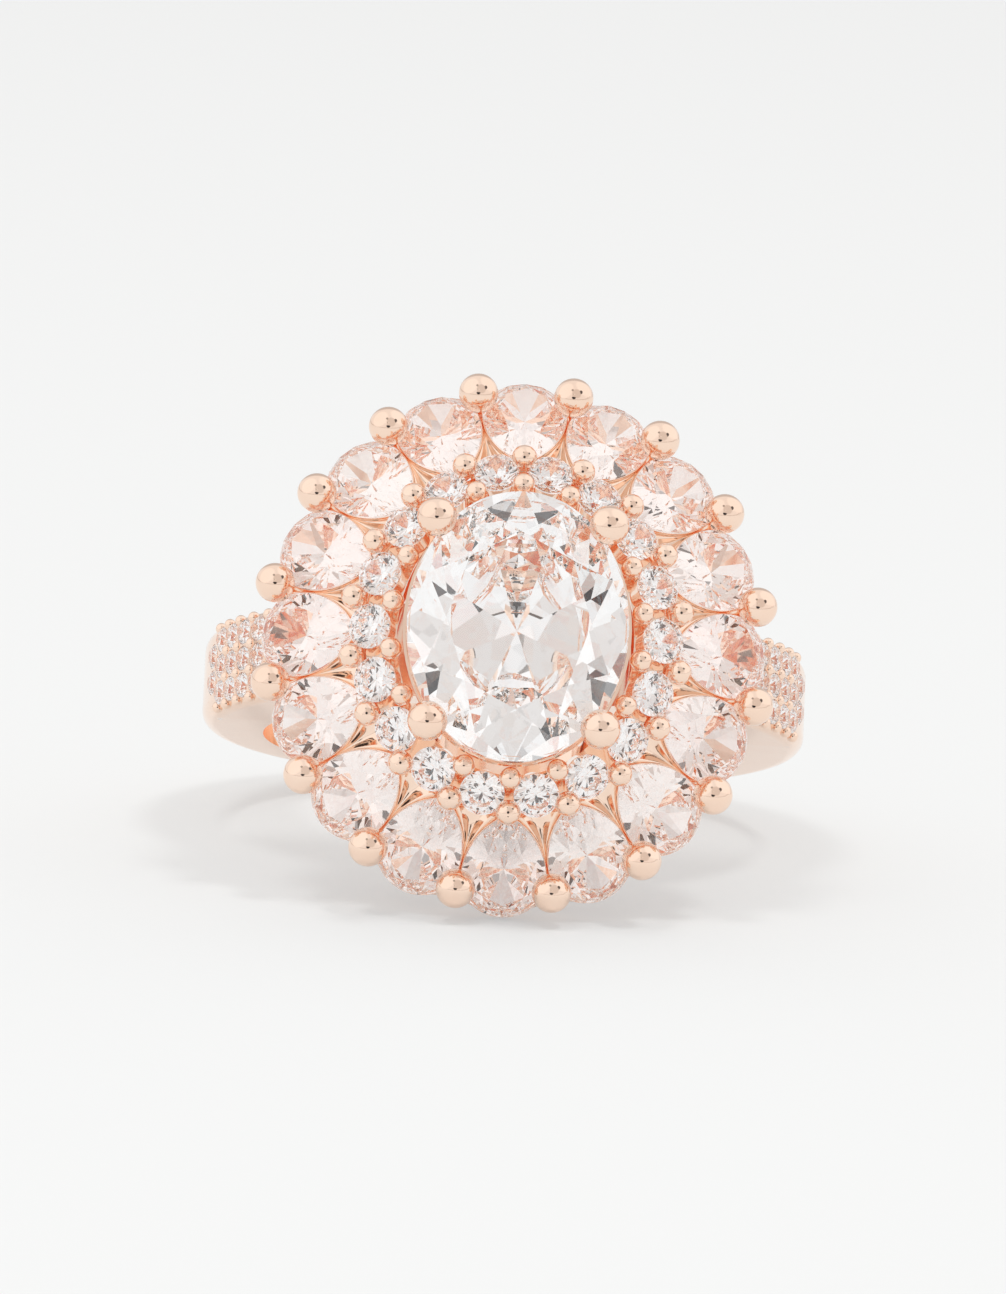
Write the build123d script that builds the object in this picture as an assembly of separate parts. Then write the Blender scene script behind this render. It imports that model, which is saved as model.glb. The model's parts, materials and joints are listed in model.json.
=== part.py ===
from build123d import *
import math
import os

# Cocktail ring, millimetres: an oval centre stone in four claws, a halo of 18 round
# stones, 16 pear-shaped petals in 16 ball claws, and a plain hoop with pave shoulders.
#
# The ring is drawn in its own frame first: Y runs along the finger, Z points out of
# the face, and the origin is the middle of the finger hole. The last step lays it down
# as it rests on a table, on its two lowest claws and the back edge of the hoop.

# ---- driving dimensions ----

FINGER_RADIUS = 9.05          # finger hole
HOOP_BACK_THICKNESS = 1.45
HOOP_SIDE_RADIUS = 11.35      # half of the hoop's overall width
HOOP_TOP = 9.9                # flat that carries the head
HOOP_HALF_WIDTH_BACK = 1.5
HOOP_HALF_WIDTH_TOP = 1.72
HOOP_FULL_WIDTH_FROM = 3.0    # height where the hoop stops widening
HOOP_EDGE = 0.6               # rounding of the hoop's outer edges

CENTRE_STONE = (4.05, 5.0)    # half width and half length of the oval
CENTRE_GIRDLE_HEIGHT = 15.7
CENTRE_CLAW_AT = (3.14, 3.77)
CENTRE_CLAW_HEIGHT = 16.5
CENTRE_CLAW_SHOULDER = (3.34, 4.0, 15.7)   # where its wire passes the stone's girdle
CENTRE_CLAW_FOOT = (2.8, 3.4)
CENTRE_CLAW_KNEE = 14.5       # height where its wire starts to lean outwards
CENTRE_WIRE_RADIUS = 0.34
CLAW_BALL_RADIUS = 0.73
BASKET_OUTER = (4.18, 5.02)   # the seat ring under the centre stone
BASKET_INNER = (3.62, 4.5)
BASKET_TOP = 15.2
BASKET_DEPTH = 0.35

HALO_COUNT = 18
HALO_STONE_RADIUS = 0.83
HALO_ELLIPSE = (5.37, 6.05)
HALO_HEIGHT = 14.3
HALO_TILT = 27.0
CUP_TOP_RADIUS = 0.84
CUP_FOOT_RADIUS = 0.6
CUP_DEPTH = 0.95
CUP_HOLE_RADIUS = 0.4
OUTER_BEAD_ELLIPSE = (6.08, 6.6)
OUTER_BEAD_HEIGHT = 14.17
OUTER_BEAD_RADIUS = 0.465
OUTER_BEAD_STEM = 0.66
INNER_BEAD_ELLIPSE = (4.63, 5.45)
INNER_BEAD_HEIGHT = 14.9
INNER_BEAD_RADIUS = 0.41
INNER_BEADS_GIVEN_UP = (2, 7, 11, 16)   # places that the centre claws take
BEAD_STEM_RADIUS = 0.13

PEAR_COUNT = 16
PEAR_RADIUS = 1.55            # round end of a pear
PEAR_TIP = 2.55               # from the round end's centre to the point
PEAR_ELLIPSE = (7.97, 8.67)
PEAR_HEIGHT = 11.87
PEAR_TILT = 34.4
COLLET_WALL = 0.045
COLLET_DEPTH = 0.4
CLAW_ELLIPSE = (9.06, 9.42)
CLAW_HEIGHT = 12.1            # at the head's sides
CLAW_RISE = 0.53              # how much higher the claws are at the head's two ends
CLAW_ELBOW_HEIGHT = 10.42     # the bend of a claw's wire
CLAW_REACH = 3.2              # from a ball's centre in to the rail
CLAW_FOOT_HEIGHT = 10.25

RAIL_WIDTH = 1.5
RAIL_DEPTH = 0.75
BAR_WIDTH = 0.9
BAR_LENGTH = 11.1
PLATE_INNER = (4.35, 5.12)
PLATE_OUTER = (5.5, 6.18)
PLATE_TOP = 13.5
PLATE_DEPTH = 0.3
POST_ELLIPSE = (5.1, 5.75)
POST_RADIUS = 0.27
WIRE_RADIUS = 0.3

PAVE_STONE_RADIUS = 0.475
PAVE_PITCH = 1.0
PAVE_ROWS = (2, 3, 3, 3, 3, 3)
PAVE_START = 13.8             # degrees up the shoulder
PAVE_BEAD_RADIUS = 0.22
PAVE_BEAD_SINK = 0.08
PAVE_EDGE_BEAD_SINK = 0.13    # the outer rows of beads sit on the rounded edges
PAVE_STONE_SINK = 0.06

MAINS = 8                     # main facets round every stone
FIT = 0.02                    # clearance between a stone and its metal
LEAN_RANGE = (15, 30)         # degrees between which the ring's lean is looked for
LEAN_HALVINGS = 16
HEAD_EDGE_FROM = -8.0         # pieces of the head reaching past this can touch the table
OVERSIZE = 1.02               # a facet pattern is drawn this much larger, then trimmed

# ---- small helpers ----


def unit(x, y):
    size = math.hypot(x, y)
    return x / size, y / size


def ellipse_stations(axes, count, shift=0.0):
    """Points at equal steps along an ellipse, clockwise from the top, with the outward way."""
    a, b = axes
    samples = 1440
    path = [(a * math.sin(2 * math.pi * i / samples), b * math.cos(2 * math.pi * i / samples))
            for i in range(samples + 1)]
    run = [0.0]
    for first, second in zip(path, path[1:]):
        run.append(run[-1] + math.dist(first, second))
    stations = []
    for k in range(count):
        want = ((k + shift) % count) / count * run[-1]
        i = max(j for j in range(samples) if run[j] <= want)
        part = (want - run[i]) / (run[i + 1] - run[i])
        x = path[i][0] + part * (path[i + 1][0] - path[i][0])
        y = path[i][1] + part * (path[i + 1][1] - path[i][1])
        stations.append((x, y, unit(x / a ** 2, y / b ** 2)))
    return stations


def leaning(x, y, z, outward, tilt):
    """A place whose normal leans outward by tilt, with its own Y axis towards the head's middle."""
    ux, uy = outward
    c, s = math.cos(math.radians(tilt)), math.sin(math.radians(tilt))
    return Location(Plane(origin=(x, y, z), x_dir=(-uy, ux, 0), z_dir=(s * ux, s * uy, c)))


def wire_between(start, end, start_radius, end_radius):
    """A straight tapered wire."""
    axis = Vector(*end) - Vector(*start)
    plane = Plane(origin=start, z_dir=axis)
    if start_radius == end_radius:
        return Solid.make_cylinder(start_radius, axis.length, plane)
    return Solid.make_cone(start_radius, end_radius, axis.length, plane)


def ball(centre, radius):
    return Pos(*centre) * Solid.make_sphere(radius, angle1=-90, angle2=90, angle3=360)


# ---- stones ----
# An outline is a function of a fraction of the way round; it gives a point and the
# tangent there. A face is the same outline as a flat, grown by a clearance.


def oval_outline(axes):
    a, b = axes

    def at(fraction):
        turn = 2 * math.pi * fraction
        return (a * math.sin(turn), b * math.cos(turn)), (a * math.cos(turn), -b * math.sin(turn))
    return at


def pear_side(radius, tip):
    """Radius of a pear's side arcs, and the angle that each sweeps from the tip to the belly."""
    side = (radius ** 2 + tip ** 2) / (2 * radius)
    return side, math.asin(tip / side)


def pear_outline(radius, tip):
    side, sweep = pear_side(radius, tip)
    side_length = side * sweep
    total = 2 * side_length + math.pi * radius

    def at(fraction):
        run = (fraction % 1.0) * total
        if run < 1e-9:
            return (0.0, tip), (1.0, 0.0)
        if run < side_length:
            turn = sweep - run / side
            centre = side - radius
            return ((side * math.cos(turn) - centre, side * math.sin(turn)),
                    (math.sin(turn), -math.cos(turn)))
        if run < side_length + math.pi * radius:
            turn = -(run - side_length) / radius
            return ((radius * math.cos(turn), radius * math.sin(turn)),
                    (math.sin(turn), -math.cos(turn)))
        (x, y), (tx, ty) = at((total - run) / total)
        return (-x, y), (tx, -ty)
    return at


def pear_face(radius, tip, grow=0.0):
    r, t = radius + grow, tip + 1.3 * grow
    side, sweep = pear_side(r, t)
    middle = (side * math.cos(sweep / 2) - (side - r), side * math.sin(sweep / 2))
    right = ThreePointArc((0, t), middle, (r, 0))
    belly = ThreePointArc((r, 0), (0, -r), (-r, 0))
    left = ThreePointArc((-r, 0), (-middle[0], middle[1]), (0, t))
    return make_face([right, belly, left])


def meeting_point(first, second, height):
    """Where two planes, each a point and a normal, meet at a height."""
    rows = []
    for (px, py, pz), (nx, ny, nz) in (first, second):
        rows.append((nx, ny, nx * px + ny * py + nz * (pz - height)))
    (a, b, e), (c, d, f) = rows
    det = a * d - b * c
    return (e * d - b * f) / det, (a * f - e * c) / det, height


def main_plane(point, tangent, through):
    """The plane of a main facet: it holds the girdle's tangent and one more point."""
    reach = Vector(*through) - Vector(*point)
    normal = Vector(tangent[0], tangent[1], 0).cross(reach).normalized()
    return point, (normal.X, normal.Y, normal.Z)


def facet_block(outline, table, crown, girdle, pavilion, middle=(0.0, 0.0), star=0.52,
                lower=0.78):
    """The flat-faced block of a brilliant cut, a little larger than its outline, girdle at z = 0."""
    top, bottom = girdle / 2, -girdle / 2
    cx, cy, mains = *middle, MAINS
    culet = (cx, cy, bottom - pavilion)
    crown_planes, pavilion_planes, main_xy, half_xy, table_points = [], [], [], [], []
    for k in range(mains):
        (x, y), tangent = outline(k / mains)
        x, y = x * OVERSIZE, y * OVERSIZE
        (hx, hy), _ = outline((k + 0.5) / mains)
        main_xy.append((x, y))
        half_xy.append((hx * OVERSIZE, hy * OVERSIZE))
        corner = (cx + table * (x - cx), cy + table * (y - cy), top + crown)
        table_points.append(corner)
        crown_planes.append(main_plane((x, y, top), tangent, corner))
        pavilion_planes.append(main_plane((x, y, bottom), tangent, culet))

    stars, lowers = [], []
    for k in range(mains):
        n = (k + 1) % mains
        stars.append(meeting_point(crown_planes[k], crown_planes[n], top + star * crown))
        lowers.append(meeting_point(pavilion_planes[k], pavilion_planes[n],
                                    bottom - lower * pavilion))

    polygons = [table_points]
    for k in range(mains):
        n, before = (k + 1) % mains, k - 1
        p, q, p2 = main_xy[k], half_xy[k], main_xy[n]
        polygons.append([table_points[k], stars[before], (*p, top), stars[k]])
        polygons.append([table_points[k], table_points[n], stars[k]])
        polygons.append([stars[k], (*p, top), (*q, top)])
        polygons.append([stars[k], (*q, top), (*p2, top)])
        polygons.append([(*p, top), (*q, top), (*q, bottom), (*p, bottom)])
        polygons.append([(*q, top), (*p2, top), (*p2, bottom), (*q, bottom)])
        polygons.append([lowers[k], (*p, bottom), (*q, bottom)])
        polygons.append([lowers[k], (*q, bottom), (*p2, bottom)])
        polygons.append([(*p, bottom), lowers[before], culet, lowers[k]])
    faces = [Face(Wire.make_polygon([Vector(*v) for v in points], close=True))
             for points in polygons]
    return Solid(Shell(faces))


def brilliant(block, face):
    """A block trimmed to its outline."""
    prism = extrude(face, CENTRE_GIRDLE_HEIGHT, both=True)
    return (block & prism).solids()[0]


def round_room(radius, table, crown, girdle, pavilion):
    """The room that a round stone needs in its metal, as one turned solid."""
    r, top, bottom = radius + FIT, girdle / 2 + FIT, -girdle / 2 - FIT
    profile = Polyline((0, bottom - pavilion), (r, bottom), (r, top), (r * table, top + crown),
                       (0, top + crown), close=True)
    return revolve(Plane.XZ * make_face(profile), Axis.Z)


CENTRE_CUT = dict(table=0.64, crown=1.2, girdle=0.22, pavilion=3.45)
CENTRE_LOWER_HALVES = 0.55     # how far down the pavilion its lower halves reach
PEAR_CUT = dict(table=0.6, crown=0.46, girdle=0.1, pavilion=1.3, middle=(0.0, 0.2))
HALO_CUT = dict(table=0.58, crown=0.27, girdle=0.06, pavilion=0.7)
PAVE_CUT = dict(table=0.58, crown=0.16, girdle=0.04, pavilion=0.4)


def circle_outline(radius):
    return oval_outline((radius, radius))


centre_stone = Pos(0, 0, CENTRE_GIRDLE_HEIGHT) * brilliant(
    facet_block(oval_outline(CENTRE_STONE), lower=CENTRE_LOWER_HALVES, **CENTRE_CUT),
    Ellipse(*CENTRE_STONE))
pear_block = facet_block(pear_outline(PEAR_RADIUS, PEAR_TIP), **PEAR_CUT)
pear_stone = brilliant(pear_block, pear_face(PEAR_RADIUS, PEAR_TIP))
halo_stone = brilliant(facet_block(circle_outline(HALO_STONE_RADIUS), **HALO_CUT),
                       Circle(HALO_STONE_RADIUS))
pave_stone = brilliant(facet_block(circle_outline(PAVE_STONE_RADIUS), **PAVE_CUT),
                       Circle(PAVE_STONE_RADIUS))

pear_stations = ellipse_stations(PEAR_ELLIPSE, PEAR_COUNT)
pear_places = [leaning(x, y, PEAR_HEIGHT, out, PEAR_TILT) for x, y, out in pear_stations]
halo_places = [leaning(x, y, HALO_HEIGHT, out, HALO_TILT)
               for x, y, out in ellipse_stations(HALO_ELLIPSE, HALO_COUNT, 0.5)]

# ---- pear collets: a thin wall round each pear, below its girdle ----

collet = Pos(0, 0, -COLLET_DEPTH - FIT) * extrude(
    pear_face(PEAR_RADIUS, PEAR_TIP, COLLET_WALL), COLLET_DEPTH)
collet -= pear_block

# ---- outer claws: a ball between each pair of pears, on a wire that bends in to the rail ----


def claw_place(k):
    """A ball's centre and outward way: half way between two pears, on the claws' own ellipse."""
    x1, y1, _ = pear_stations[k]
    x2, y2, _ = pear_stations[(k + 1) % PEAR_COUNT]
    turn = math.atan2((x1 + x2) / CLAW_ELLIPSE[0], (y1 + y2) / CLAW_ELLIPSE[1])
    x, y = CLAW_ELLIPSE[0] * math.sin(turn), CLAW_ELLIPSE[1] * math.cos(turn)
    height = CLAW_HEIGHT + CLAW_RISE * math.cos(turn) ** 2
    return x, y, height, unit(x / CLAW_ELLIPSE[0] ** 2, y / CLAW_ELLIPSE[1] ** 2)


def outer_claw(k):
    x, y, height, (ux, uy) = claw_place(k)
    reach = CLAW_REACH - WIRE_RADIUS - 4 * FIT
    tip = (x, y, height)
    elbow = (x, y, CLAW_ELBOW_HEIGHT)
    foot = (x - reach * ux, y - reach * uy, CLAW_FOOT_HEIGHT)
    claw = ball(tip, CLAW_BALL_RADIUS)
    claw += [wire_between(tip, elbow, WIRE_RADIUS, WIRE_RADIUS), ball(elbow, WIRE_RADIUS),
             wire_between(elbow, foot, WIRE_RADIUS, WIRE_RADIUS), ball(foot, WIRE_RADIUS)]
    return claw


claws = [outer_claw(k) for k in range(PEAR_COUNT)]

# ---- halo: a cup for each stone on a flat plate, beads between them, posts below ----

LEAN_SIN, LEAN_COS = math.sin(math.radians(HALO_TILT)), math.cos(math.radians(HALO_TILT))
cup = Solid.make_cone(CUP_FOOT_RADIUS, CUP_TOP_RADIUS, CUP_DEPTH,
                      Plane.XY.offset(-CUP_DEPTH - FIT))
cup -= round_room(HALO_STONE_RADIUS, **HALO_CUT)
cup -= Solid.make_cylinder(CUP_HOLE_RADIUS, 2 * CUP_DEPTH, Plane.XY.offset(-1.5 * CUP_DEPTH))
# the plate's flat top, seen from a leaning cup
below = Plane(origin=(0, 0, 0), x_dir=(1, 0, 0), z_dir=(0, LEAN_SIN, LEAN_COS))
cup_room = 3 * CUP_TOP_RADIUS
floor_block = below * Pos(0, 0, PLATE_TOP - HALO_HEIGHT - cup_room / 2) * Box(
    cup_room, cup_room, cup_room)
cup -= floor_block
cups = [place * cup for place in halo_places]

outer_bead = ball((0, 0, 0), OUTER_BEAD_RADIUS) + Solid.make_cylinder(
    BEAD_STEM_RADIUS, OUTER_BEAD_STEM, Plane(origin=(0, 0, 0), z_dir=(0, 0, -1)))
outer_beads = [leaning(x, y, OUTER_BEAD_HEIGHT, out, HALO_TILT) * outer_bead
               for x, y, out in ellipse_stations(OUTER_BEAD_ELLIPSE, HALO_COUNT)]
inner_bead = ball((0, 0, 0), INNER_BEAD_RADIUS) + Solid.make_cylinder(
    BEAD_STEM_RADIUS, INNER_BEAD_HEIGHT - PLATE_TOP, Plane(origin=(0, 0, 0), z_dir=(0, 0, -1)))
inner_beads = [Pos(x, y, INNER_BEAD_HEIGHT) * inner_bead
               for k, (x, y, _) in enumerate(ellipse_stations(INNER_BEAD_ELLIPSE, HALO_COUNT))
               if k not in INNER_BEADS_GIVEN_UP]


def oval_band(outer, inner, low, high):
    return Pos(0, 0, low) * (extrude(Ellipse(*outer), high - low)
                             - extrude(Ellipse(*inner), high - low))


RAIL_TOP = HOOP_TOP + RAIL_DEPTH
PLATE_BOTTOM = PLATE_TOP - PLATE_DEPTH
halo_plate = oval_band(PLATE_OUTER, PLATE_INNER, PLATE_BOTTOM, PLATE_TOP)
post = Solid.make_cylinder(POST_RADIUS, PLATE_BOTTOM - RAIL_TOP)
posts = [Pos(x, y, RAIL_TOP) * post for x, y, _ in ellipse_stations(POST_ELLIPSE, HALO_COUNT)]

# ---- centre setting: an oval seat ring and four ball claws ----

centre_basket = oval_band(BASKET_OUTER, BASKET_INNER, BASKET_TOP - BASKET_DEPTH, BASKET_TOP)
centre_claws = []
for side_x, side_y in ((-1, 1), (1, 1), (1, -1), (-1, -1)):
    tip = (side_x * CENTRE_CLAW_AT[0], side_y * CENTRE_CLAW_AT[1], CENTRE_CLAW_HEIGHT)
    bend = (side_x * CENTRE_CLAW_SHOULDER[0], side_y * CENTRE_CLAW_SHOULDER[1],
            CENTRE_CLAW_SHOULDER[2])
    low = (side_x * CENTRE_CLAW_FOOT[0], side_y * CENTRE_CLAW_FOOT[1], RAIL_TOP)
    knee = (low[0], low[1], CENTRE_CLAW_KNEE)
    claw = ball(tip, CLAW_BALL_RADIUS)
    for start, end in ((low, knee), (knee, bend), (bend, tip)):
        claw += wire_between(start, end, CENTRE_WIRE_RADIUS, CENTRE_WIRE_RADIUS)
    claw += [ball(knee, CENTRE_WIRE_RADIUS), ball(bend, CENTRE_WIRE_RADIUS)]
    centre_claws.append(claw)
halo_plate -= centre_claws
centre_basket -= centre_claws

# ---- gallery rail: the oval ring and two bars that the whole head stands on ----

rail_outer = (CLAW_ELLIPSE[0] - CLAW_REACH, CLAW_ELLIPSE[1] - CLAW_REACH)
rail_inner = (rail_outer[0] - RAIL_WIDTH, rail_outer[1] - RAIL_WIDTH)
gallery_rail = oval_band(rail_outer, rail_inner, HOOP_TOP, RAIL_TOP)
for sign in (-1, 1):
    gallery_rail += Pos(sign * CENTRE_CLAW_FOOT[0], 0, HOOP_TOP + RAIL_DEPTH / 2) * Box(
        BAR_WIDTH, BAR_LENGTH, RAIL_DEPTH)

# ---- hoop ----
# Its outside is a circle with its centre a little towards the head, so that the hoop
# thickens from the back to the shoulders.

BACK = FINGER_RADIUS + HOOP_BACK_THICKNESS
OUTSIDE_LIFT = (HOOP_SIDE_RADIUS ** 2 - BACK ** 2) / (2 * BACK)
OUTSIDE_RADIUS = BACK + OUTSIDE_LIFT


def along_finger(radius, length, z=0.0):
    """A cylinder along the finger, centred on it."""
    return Solid.make_cylinder(radius, length, Plane(origin=(0, -length / 2, z), z_dir=(0, 1, 0)))


w_back, w_top = HOOP_HALF_WIDTH_BACK, HOOP_HALF_WIDTH_TOP
side_view = Polygon((-w_back, -BACK - FIT), (w_back, -BACK - FIT), (w_top, HOOP_FULL_WIDTH_FROM),
                    (w_top, HOOP_TOP), (-w_top, HOOP_TOP), (-w_top, HOOP_FULL_WIDTH_FROM),
                    align=None)
taper = extrude(Plane.YZ * side_view, 2 * HOOP_SIDE_RADIUS, both=True)
shank = along_finger(OUTSIDE_RADIUS, 3 * w_top, OUTSIDE_LIFT) & taper
outer_edges = [edge for edge in shank.edges()
               if edge.bounding_box().size.X > w_top and edge.center().Z < HOOP_TOP - FIT]
shank = fillet(outer_edges, HOOP_EDGE)
shank -= along_finger(FINGER_RADIUS, 4 * w_top)


def shoulder_place(side, angle, y, sink=0.0):
    """A place on the hoop's outside, at an angle up from its side, facing outwards."""
    c, s = math.cos(math.radians(angle)), math.sin(math.radians(angle))
    r = OUTSIDE_RADIUS - sink
    return Location(Plane(origin=(side * r * c, y, OUTSIDE_LIFT + r * s), x_dir=(0, 1, 0),
                          z_dir=(side * c, 0, s)))


COLUMN_STEP = math.degrees(PAVE_PITCH / OUTSIDE_RADIUS)


def pave_places(side):
    places = []
    for column, rows in enumerate(PAVE_ROWS):
        for row in range(rows):
            y = (row - (rows - 1) / 2) * PAVE_PITCH
            places.append(shoulder_place(side, PAVE_START + column * COLUMN_STEP, y, PAVE_STONE_SINK))
    return places


def pave_bead_places(side):
    """Four beads round every stone, shared between neighbours."""
    places = []
    for column in range(len(PAVE_ROWS)):
        angle = PAVE_START + (column + 0.5) * COLUMN_STEP
        for half_steps, sink in ((1, PAVE_BEAD_SINK), (3, PAVE_EDGE_BEAD_SINK)):
            if half_steps < 3 and PAVE_ROWS[column] < 3:
                continue
            for sign in (-1, 1):
                y = sign * half_steps * PAVE_PITCH / 2
                places.append(shoulder_place(side, angle, y, sink))
    return places


pave_room = round_room(PAVE_STONE_RADIUS, **PAVE_CUT)
pave_bead = ball((0, 0, 0), PAVE_BEAD_RADIUS)
shoulder_parts = {}
for name, side in (("left", -1), ("right", 1)):
    places = pave_places(side)
    beads = [place * pave_bead for place in pave_bead_places(side)]
    shank -= [place * pave_room for place in places] + beads
    shoulder_parts[name] = ([place * pave_stone for place in places], beads)

# ---- nodes ----
# Each node is a list of separate solids.

nodes = {"centre_stone": [centre_stone]}
for k, place in enumerate(pear_places, 1):
    nodes[f"pear_stone_{k:02d}"] = [place * pear_stone]
for k, place in enumerate(halo_places, 1):
    nodes[f"halo_stone_{k:02d}"] = [place * halo_stone]
for name, (stones, beads) in shoulder_parts.items():
    nodes[f"{name}_shoulder_stones"] = stones
    nodes[f"{name}_shoulder_beads"] = beads
nodes["shank"] = shank.solids()
nodes["gallery_rail"] = gallery_rail.solids()
nodes["pear_collets"] = [place * collet for place in pear_places]
nodes["pear_claws"] = claws
nodes["halo_plate"] = halo_plate.solids()
nodes["halo_cups"] = cups
nodes["halo_outer_beads"] = outer_beads
nodes["halo_inner_beads"] = inner_beads
nodes["halo_posts"] = posts
nodes["centre_basket"] = centre_basket.solids()
nodes["centre_claws"] = centre_claws

# ---- rest position ----
# The ring leans on the lowest piece of its head and on the back lower edge of the hoop.
# More lean lifts the head against the hoop, so halving the range finds the one angle at
# which both touch the table.


def lowest(solids, angle):
    """The lowest height of some solids when the ring leans by an angle in degrees."""
    turn = Rot(90 - angle, 0, 0)
    return min((turn * solid).bounding_box().min.Z for solid in solids)


head_edge = [solid for name in ("pear_collets", "pear_claws") for solid in nodes[name]
             if solid.bounding_box().min.Y < HEAD_EDGE_FROM]
least, most = LEAN_RANGE
for _ in range(LEAN_HALVINGS):
    lean = (least + most) / 2
    if lowest(head_edge, lean) < lowest(nodes["shank"], lean):
        least = lean
    else:
        most = lean
turned = Rot(90 - lean, 0, 0)
nodes = {name: [turned * solid for solid in solids] for name, solids in nodes.items()}
boxes = [solid.bounding_box() for solids in nodes.values() for solid in solids]
front, back = min(b.min.Y for b in boxes), max(b.max.Y for b in boxes)
floor = min(b.min.Z for b in boxes)
down = Pos(0, -(front + back) / 2, -floor)

os.makedirs("parts", exist_ok=True)
for name, solids in nodes.items():
    export_step(Compound([down * solid for solid in solids]), f"parts/{name}.step")
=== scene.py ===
import bpy, bmesh, json, math
from mathutils import Vector, Matrix

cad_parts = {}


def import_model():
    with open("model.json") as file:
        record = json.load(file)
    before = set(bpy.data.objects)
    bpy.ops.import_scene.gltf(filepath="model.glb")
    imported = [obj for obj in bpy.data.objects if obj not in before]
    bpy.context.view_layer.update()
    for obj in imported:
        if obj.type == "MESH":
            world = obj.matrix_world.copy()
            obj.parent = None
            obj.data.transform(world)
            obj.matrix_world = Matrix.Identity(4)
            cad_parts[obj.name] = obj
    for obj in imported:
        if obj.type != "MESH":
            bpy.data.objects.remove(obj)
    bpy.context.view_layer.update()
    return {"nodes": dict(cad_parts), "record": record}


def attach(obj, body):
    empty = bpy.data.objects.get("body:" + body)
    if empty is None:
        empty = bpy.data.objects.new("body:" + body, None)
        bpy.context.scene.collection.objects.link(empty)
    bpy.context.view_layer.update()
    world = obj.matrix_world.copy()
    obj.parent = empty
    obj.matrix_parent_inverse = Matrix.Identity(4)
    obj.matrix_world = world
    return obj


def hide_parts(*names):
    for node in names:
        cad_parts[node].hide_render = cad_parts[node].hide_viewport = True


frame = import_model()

MM = 0.001
STONE_DRIFT = 420             # scale of the slow colour change inside a stone
GOLD_GRAIN = 900              # scale of the metal's fine unevenness
GOLD_SHADES = ((0.975, 0.735, 0.59), (0.985, 0.765, 0.625))
GOLD_ROUGHNESS = (0.04, 0.11)

# ---- the ring's own frame: x right, y along the finger, z out of the face ----
mount = next(m for m in frame["record"]["mounts"] if m["name"] == "finger_bore")
HOLE = Vector(mount["pos_m"])
FINGER = Vector(mount["axis"]).normalized()
RIGHT = Vector((1, 0, 0))
FACE = RIGHT.cross(FINGER).normalized()
TO_WORLD = Matrix.Translation(HOLE) @ Matrix((RIGHT, FINGER, FACE)).transposed().to_4x4()


def world(x, y, z):
    return TO_WORLD @ (Vector((x, y, z)) * MM)


def new_material(name):
    m = bpy.data.materials.new(name)
    m.use_nodes = True
    nt = m.node_tree
    return m, nt, nt.nodes["Principled BSDF"]


def drifting_noise(nt, scale, detail):
    """Noise in the object's own space."""
    tc = nt.nodes.new("ShaderNodeTexCoord")
    n = nt.nodes.new("ShaderNodeTexNoise")
    n.inputs["Scale"].default_value = scale
    n.inputs["Detail"].default_value = detail
    nt.links.new(tc.outputs["Object"], n.inputs["Vector"])
    return n.outputs["Fac"]


def two_shades(nt, noise, start, first, end, second):
    """Runs from one colour to another as the noise goes from start to end."""
    r = nt.nodes.new("ShaderNodeValToRGB")
    r.color_ramp.elements[0].position = start
    r.color_ramp.elements[0].color = (*first, 1)
    r.color_ramp.elements[1].position = end
    r.color_ramp.elements[1].color = (*second, 1)
    nt.links.new(noise, r.inputs["Fac"])
    return r.outputs["Color"]


def rose_gold():
    m, nt, p = new_material("rose_gold_polished")
    p.inputs["Metallic"].default_value = 1.0
    noise = drifting_noise(nt, GOLD_GRAIN, 4)
    shade = two_shades(nt, noise, 0.3, GOLD_SHADES[0], 0.7, GOLD_SHADES[1])
    nt.links.new(shade, p.inputs["Base Color"])
    mr = nt.nodes.new("ShaderNodeMapRange")
    mr.inputs["To Min"].default_value, mr.inputs["To Max"].default_value = GOLD_ROUGHNESS
    nt.links.new(noise, mr.inputs["Value"])
    nt.links.new(mr.outputs["Result"], p.inputs["Roughness"])
    return m


def stone(name, pale, deep, ior):
    """A cut stone whose tint drifts between two shades through its body."""
    m, nt, p = new_material(name)
    noise = drifting_noise(nt, STONE_DRIFT, 1)
    shade = two_shades(nt, noise, 0.35, pale, 0.65, deep)
    nt.links.new(shade, p.inputs["Base Color"])
    p.inputs["Roughness"].default_value = 0.0
    p.inputs["IOR"].default_value = ior
    p.inputs["Transmission Weight"].default_value = 1.0
    return m


GOLD = rose_gold()
CLEAR = stone("clear_stone_cut", (1, 1, 1), (0.985, 0.985, 0.995), 2.15)
PEACH = stone("peach_stone_cut", (1.0, 0.935, 0.905), (1.0, 0.90, 0.87), 2.0)
for name, obj in frame["nodes"].items():
    if name.startswith("pear_stone"):
        mat = PEACH
    elif "stone" in name:
        mat = CLEAR
    else:
        mat = GOLD
    for s in obj.material_slots:
        s.material = mat

# ---- pear collets: a rounded lip and seat round each pear, with a grooved web in each gap ----
PEAR_COUNT, PEAR_RADIUS, PEAR_TIP = 16, 1.55, 2.55
PEAR_ELLIPSE, PEAR_HEIGHT, PEAR_TILT = (7.97, 8.67), 11.87, math.radians(34.4)
COLLET_PROFILE = ((0.0, -0.09), (0.012, -0.01), (0.026, 0.012), (0.04, -0.01),
                  (0.045, -0.5), (-0.25, -0.5))
OUTLINE_STEPS = 72
ELLIPSE_STEPS = 1440
WEB_FROM, WEB_TO = 0.03, 0.44                 # parts of the outline a web runs between
WEB_STEPS, WEB_ACROSS = 28, 8
WEB_GAP, WEB_LIP = 0.03, -0.16                # where a web meets a collet: out, and down
WEB_GROOVE, WEB_GROOVE_SHARE, WEB_THICKNESS = 0.34, 0.45, 0.3


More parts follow.
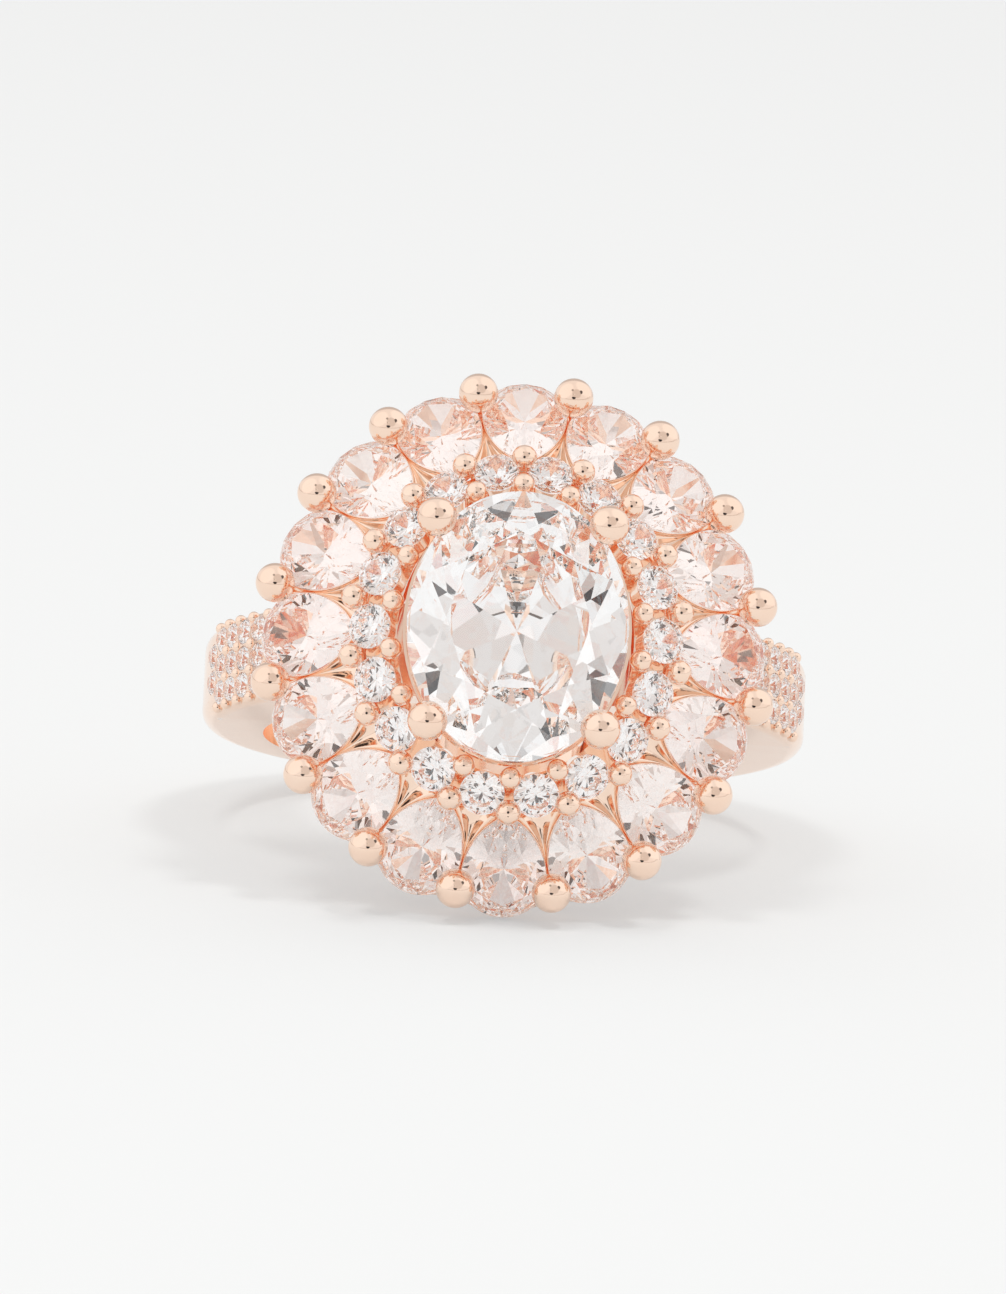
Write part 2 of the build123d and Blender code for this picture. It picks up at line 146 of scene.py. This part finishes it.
def stations(axes, count):
    """Points at equal steps along an ellipse, clockwise from the top, with the outward way."""
    a, b = axes
    path = [(a * math.sin(math.tau * i / ELLIPSE_STEPS), b * math.cos(math.tau * i / ELLIPSE_STEPS))
            for i in range(ELLIPSE_STEPS + 1)]
    run = [0.0]
    for first, second in zip(path, path[1:]):
        run.append(run[-1] + math.dist(first, second))
    out, i = [], 0
    for k in range(count):
        want = k / count * run[-1]
        while run[i + 1] <= want:
            i += 1
        part = (want - run[i]) / (run[i + 1] - run[i])
        x = path[i][0] + part * (path[i + 1][0] - path[i][0])
        y = path[i][1] + part * (path[i + 1][1] - path[i][1])
        way = Vector((x / a ** 2, y / b ** 2)).normalized()
        out.append((x, y, way.x, way.y))
    return out


def pear_place(x, y, ux, uy):
    """Matrix from a pear's own frame, point towards the middle, to the ring's."""
    s, c = math.sin(PEAR_TILT), math.cos(PEAR_TILT)
    own_x, own_z = Vector((-uy, ux, 0)), Vector((s * ux, s * uy, c))
    own_y = own_z.cross(own_x)
    turn = Matrix((own_x, own_y, own_z)).transposed().to_4x4()
    return Matrix.Translation((x, y, PEAR_HEIGHT)) @ turn


def pear_outline(fraction):
    """A point of the pear's outline and the outward way there, from the tip round."""
    side = (PEAR_RADIUS ** 2 + PEAR_TIP ** 2) / (2 * PEAR_RADIUS)
    sweep = math.asin(PEAR_TIP / side)
    side_length = side * sweep
    total = 2 * side_length + math.pi * PEAR_RADIUS
    run = (fraction % 1.0) * total
    if run > total / 2:
        (x, y), (nx, ny) = pear_outline(1 - fraction % 1.0)
        return (-x, y), (-nx, ny)
    if run < side_length:
        turn = sweep - run / side
        return ((side * math.cos(turn) - (side - PEAR_RADIUS), side * math.sin(turn)),
                (math.cos(turn), math.sin(turn)))
    turn = -(run - side_length) / PEAR_RADIUS
    return ((PEAR_RADIUS * math.cos(turn), PEAR_RADIUS * math.sin(turn)),
            (math.cos(turn), math.sin(turn)))


PEARS = [pear_place(*s) for s in stations(PEAR_ELLIPSE, PEAR_COUNT)]


def pear_edge(k, fraction, out, drop):
    """A point beside pear k's outline, in the ring's frame."""
    (x, y), (nx, ny) = pear_outline(fraction)
    return PEARS[k % PEAR_COUNT] @ Vector((x + out * nx, y + out * ny, drop))


def make_piece(name, bm, material, slot, *nodes):
    """Turns a bmesh drawn in the ring's frame, in millimetres, into a piece of the ring."""
    bmesh.ops.recalc_face_normals(bm, faces=bm.faces)
    mesh = bpy.data.meshes.new(name)
    bm.to_mesh(mesh)
    bm.free()
    mesh.transform(TO_WORLD @ Matrix.Scale(MM, 4))
    piece = bpy.data.objects.new(name, mesh)
    bpy.context.collection.objects.link(piece)
    mesh.materials.append(material)
    mesh.shade_smooth()
    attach(piece, "root")
    if nodes:
        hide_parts(*nodes)
    return piece


def loft(bm, rows, closed_row=True, closed_rows=False):
    """Skins rows of points with quads."""
    rings = [[bm.verts.new(v) for v in row] for row in rows]
    pairs = list(zip(rings, rings[1:])) + ([(rings[-1], rings[0])] if closed_rows else [])
    for a, b in pairs:
        n = len(a)
        for i in range(n if closed_row else n - 1):
            bm.faces.new((a[i], a[(i + 1) % n], b[(i + 1) % n], b[i]))
    return rings


bm = bmesh.new()
for k in range(PEAR_COUNT):
    loft(bm, [[pear_edge(k, (i + 0.5) / OUTLINE_STEPS, out, drop) for out, drop in COLLET_PROFILE]
              for i in range(OUTLINE_STEPS)], closed_rows=True)
for k in range(PEAR_COUNT):
    rows = []
    for i in range(WEB_STEPS + 1):
        f = WEB_FROM + (WEB_TO - WEB_FROM) * i / WEB_STEPS
        left, right = min(((pear_edge(k, -way * f, WEB_GAP, WEB_LIP),
                            pear_edge(k + 1, way * f, WEB_GAP, WEB_LIP)) for way in (1, -1)),
                          key=lambda ends: (ends[0] - ends[1]).length)
        width = (left - right).length
        down = PEARS[k].to_3x3() @ Vector((0, 0, -1))
        row = []
        for j in range(WEB_ACROSS + 1):
            t = j / WEB_ACROSS
            depth = min(WEB_GROOVE, WEB_GROOVE_SHARE * width) * math.sin(math.pi * t)
            row.append(left.lerp(right, t) + down * depth)
        for j in range(WEB_ACROSS, -1, -1):
            t = j / WEB_ACROSS
            row.append(left.lerp(right, t) + down * (WEB_GROOVE + WEB_THICKNESS))
        rows.append(row)
    rings = loft(bm, rows)
    bm.faces.new(rings[0])
    bm.faces.new(rings[-1])
make_piece("pear_collets_and_webs", bm, GOLD, "rose_gold", "pear_collets")

# ---- floor: it glows on its own, a painted fill light that lightens the shadows cast on it ----
FLOOR_SIZE = 6
bpy.ops.mesh.primitive_plane_add(size=FLOOR_SIZE, location=(0, 0, 0))
floor = bpy.context.object
floor.name = "studio_floor"
fm, nt, p = new_material("glowing_table_painted_fill")
p.inputs["Base Color"].default_value = (0.402, 0.414, 0.412, 1)
p.inputs["Roughness"].default_value = 0.9
p.inputs["Specular IOR Level"].default_value = 0.1
# The glow is pinker than the base colour, so the floor's shadows come out pink: painted light
# bounced off the rose gold, while lit floor stays neutral.
p.inputs["Emission Color"].default_value = (1.0, 0.985, 0.988, 1)
p.inputs["Emission Strength"].default_value = 0.395
floor.data.materials.append(fm)

# ---- camera ----
AZ, EL, ROLL = math.radians(-1.45), math.radians(11.64), math.radians(3.2)
DIST = 0.35
VIEW_HEIGHT = 47.055 * MM     # what the frame holds from top to bottom at the focus
FOCUS_OUT = 15.7              # how far the point in focus is out of the finger hole's middle
FOCUS_RIGHT, FOCUS_UP = 0.538 * MM, 0.735 * MM    # the focus is off the frame's middle
focus = world(0, 0, FOCUS_OUT)
back = Vector((math.sin(AZ) * math.cos(EL), -math.cos(AZ) * math.cos(EL), math.sin(EL)))
eye_right = Vector((math.cos(AZ), math.sin(AZ), 0))
eye_up = back.cross(eye_right)
r = eye_right * math.cos(ROLL) + eye_up * math.sin(ROLL)
u = eye_up * math.cos(ROLL) - eye_right * math.sin(ROLL)
centre = focus - r * FOCUS_RIGHT - u * FOCUS_UP
cam = bpy.data.cameras.new("photo_camera")
camera = bpy.data.objects.new("photo_camera", cam)
bpy.context.collection.objects.link(camera)
axes = Matrix((r, u, back)).transposed().to_4x4()
camera.matrix_world = Matrix.Translation(centre + back * DIST) @ axes
cam.sensor_fit = "VERTICAL"
cam.sensor_height = 24
cam.lens = cam.sensor_height * DIST / VIEW_HEIGHT
cam.clip_start = 0.01
cam.clip_end = 20
bpy.context.scene.camera = camera

# ---- light ----
w = bpy.data.worlds.new("studio")
bpy.context.scene.world = w
w.use_nodes = True
wt = w.node_tree
bg = wt.nodes["Background"]
bg.inputs["Strength"].default_value = 0.93


def wnode(kind, **values):
    n = wt.nodes.new(kind)
    for key, value in values.items():
        setattr(n, key, value)
    return n


way = wnode("ShaderNodeTexCoord").outputs["Generated"]


def toward(az, el):
    """How far the looked-at direction is from (az, el), as the cosine."""
    a, e = math.radians(az), math.radians(el)
    d = wnode("ShaderNodeVectorMath", operation="DOT_PRODUCT")
    wt.links.new(way, d.inputs[0])
    x, y, z = math.sin(a) * math.cos(e), -math.cos(a) * math.cos(e), math.sin(e)
    d.inputs[1].default_value = (x, y, z)
    return d.outputs["Value"]


def spot(az, el, radius, soft):
    """1 inside a round patch of the studio, 0 outside."""
    n = wnode("ShaderNodeMapRange")
    n.interpolation_type = "SMOOTHSTEP"
    wt.links.new(toward(az, el), n.inputs["Value"])
    n.inputs["From Min"].default_value = math.cos(math.radians(radius + soft))
    n.inputs["From Max"].default_value = math.cos(math.radians(max(radius - soft, 0.0)))
    return n.outputs["Result"]


def mix(fac, a, b):
    n = wnode("ShaderNodeMix", data_type="RGBA")
    for key, v in ((0, fac), (6, a), (7, b)):
        if isinstance(v, tuple):
            n.inputs[key].default_value = (*v, 1)
        else:
            wt.links.new(v, n.inputs[key])
    return n.outputs[2]


def above(elevation, soft):
    """1 for directions above an elevation, 0 below it."""
    n = wnode("ShaderNodeMapRange")
    n.interpolation_type = "SMOOTHSTEP"
    wt.links.new(toward(0, 90), n.inputs["Value"])
    n.inputs["From Min"].default_value = math.sin(math.radians(elevation - soft))
    n.inputs["From Max"].default_value = math.sin(math.radians(elevation + soft))
    return n.outputs["Result"]


TABLE_EDGE, TENT_WALL = (0.66, 0.60, 0.57), (1.0, 0.99, 0.985)
SOFTBOX = (1.13, 1.12, 1.11)
# azimuth, elevation, radius and softness in degrees, then the colour
PATCHES = (
    (-75, 40, 42, 6, SOFTBOX),                      # left softbox
    (100, 42, 40, 6, SOFTBOX),                      # right softbox
    (18, 36, 27, 3, (0.80, 0.76, 0.735)),           # the gap over the camera
    (-18, 57, 6, 1.5, (0.42, 0.39, 0.37)),          # the gap's left corner
    (56, 41, 8, 1.5, (0.13, 0.12, 0.12)),           # the gap's right corner
    (-1.5, 13.3, 11.5, 1.5, (0.035, 0.035, 0.04)),  # camera
    (180, 22, 24, 8, (0.66, 0.63, 0.62)),           # back of the tent, in shade
)
colour = mix(above(1.8, 1.0), TABLE_EDGE, TENT_WALL)
for az, el, radius, soft, shade in PATCHES:
    colour = mix(spot(az, el, radius, soft), colour, shade)
wt.links.new(colour, bg.inputs["Color"])


LIT_POINT = Vector((0, 0, 0.005))


def area(name, at, size, power):
    """A round lamp that lights the ring and the table but is not seen in either."""
    d = bpy.data.lights.new(name, "AREA")
    d.shape = "DISK"
    d.size = size
    d.energy = power
    o = bpy.data.objects.new(name, d)
    bpy.context.collection.objects.link(o)
    o.location = at
    o.rotation_euler = (LIT_POINT - Vector(at)).to_track_quat("-Z", "Y").to_euler()
    o.visible_glossy = False
    o.visible_transmission = False


area("right_softbox", (0.17, -0.13, 0.58), 0.11, 0.85)
area("left_softbox", (-0.15, -0.16, 0.58), 0.15, 0.75)
bpy.context.scene.view_settings.view_transform = "Standard"
c = bpy.context.scene.cycles
c.max_bounces = 64
c.transmission_bounces = 48
c.glossy_bounces = 32
